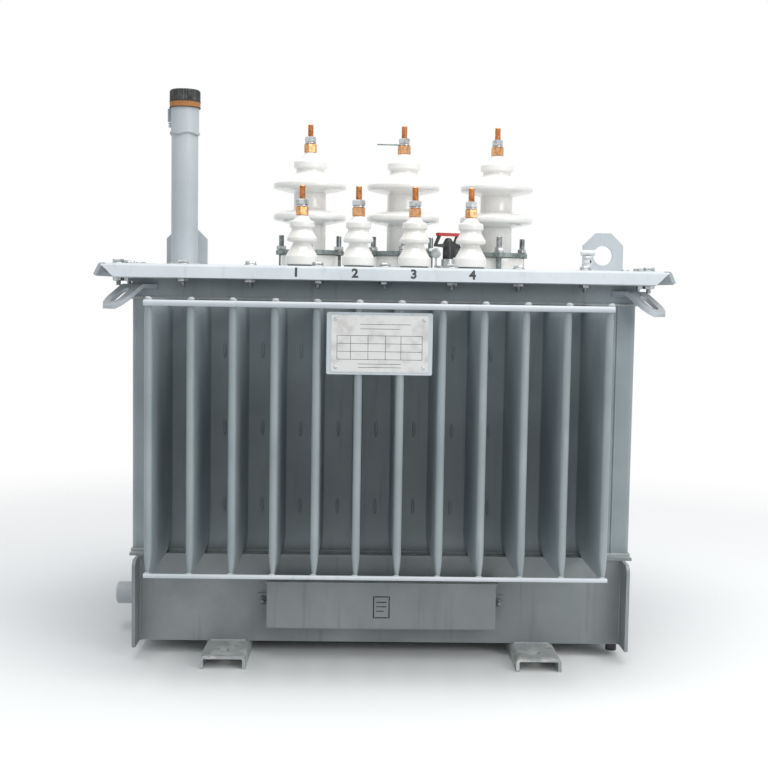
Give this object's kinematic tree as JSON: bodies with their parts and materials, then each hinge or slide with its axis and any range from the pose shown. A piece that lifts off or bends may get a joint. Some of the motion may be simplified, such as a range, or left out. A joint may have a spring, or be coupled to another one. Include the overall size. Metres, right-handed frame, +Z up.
{
  "type": "oil-filled distribution transformer",
  "caption": "Sealed three-phase distribution transformer: finned tank on channel skids, folded lid, porcelain bushings, filler pipe, lifting lugs and a turning tap changer handle.",
  "frame": {"origin": "on the ground under the middle of the tank, which is the middle of the bounding box's base", "axes": "+X along the tank to the right as seen from the low-voltage side, +Y from the low-voltage front to the back, +Z up"},
  "size_m": [1.033, 0.8404, 1.027],
  "materials": {
    "grey_enamel": "satin",
    "light_enamel": "satin",
    "porcelain": "gloss",
    "brass": "satin",
    "zinc_steel": "satin",
    "black_rubber": "matte",
    "black_plastic": "matte",
    "red_plastic": "satin",
    "tan_rubber": "matte"
  },
  "bodies": {
    "transformer": {"back_fins": "grey_enamel", "back_lashing_eyes": "grey_enamel", "back_rods": "light_enamel", "bottom_drain": "black_plastic", "bushing_gaskets": "black_rubber", "document_box": "grey_enamel", "filler_cap": "black_plastic", "filler_pipe": "light_enamel", "filler_ring": "tan_rubber", "front_fins": "grey_enamel", "front_lashing_eyes": "grey_enamel", "front_rods": "light_enamel", "hv_clamps": "zinc_steel", "hv_insulator_1": "porcelain", "hv_insulator_2": "porcelain", "hv_insulator_3": "porcelain", "hv_terminals": "brass", "left_lifting_lug": "light_enamel", "left_skid": "grey_enamel", "lid": "light_enamel", "lid_gasket": "black_rubber", "lv_insulator_1": "porcelain", "lv_insulator_2": "porcelain", "lv_insulator_3": "porcelain", "lv_insulator_4": "porcelain", "lv_terminals": "brass", "nameplate_carrier": "light_enamel", "right_lifting_lug": "light_enamel", "right_skid": "grey_enamel", "rim_frame": "grey_enamel", "side_drain": "grey_enamel", "tank_back_wall": "grey_enamel", "tank_front_wall": "grey_enamel", "tank_left_end": "grey_enamel", "tank_right_end": "grey_enamel", "tap_changer_base": "zinc_steel", "thermometer_pocket": "zinc_steel", "tray_back_wall": "grey_enamel", "tray_floor": "grey_enamel", "tray_front_wall": "grey_enamel", "tray_left_end": "grey_enamel", "tray_right_end": "grey_enamel"},
    "tap_handle": {"tap_handle": "black_plastic", "tap_handle_bar": "red_plastic"}
  },
  "joints": [
    {"name": "tap_handle_turn", "type": "hinge", "parent": "transformer", "child": "tap_handle", "pos_m": [0.125, 0, 0.722], "axis": [0, 0, 1], "range_deg": [-60, 60]}
  ]
}
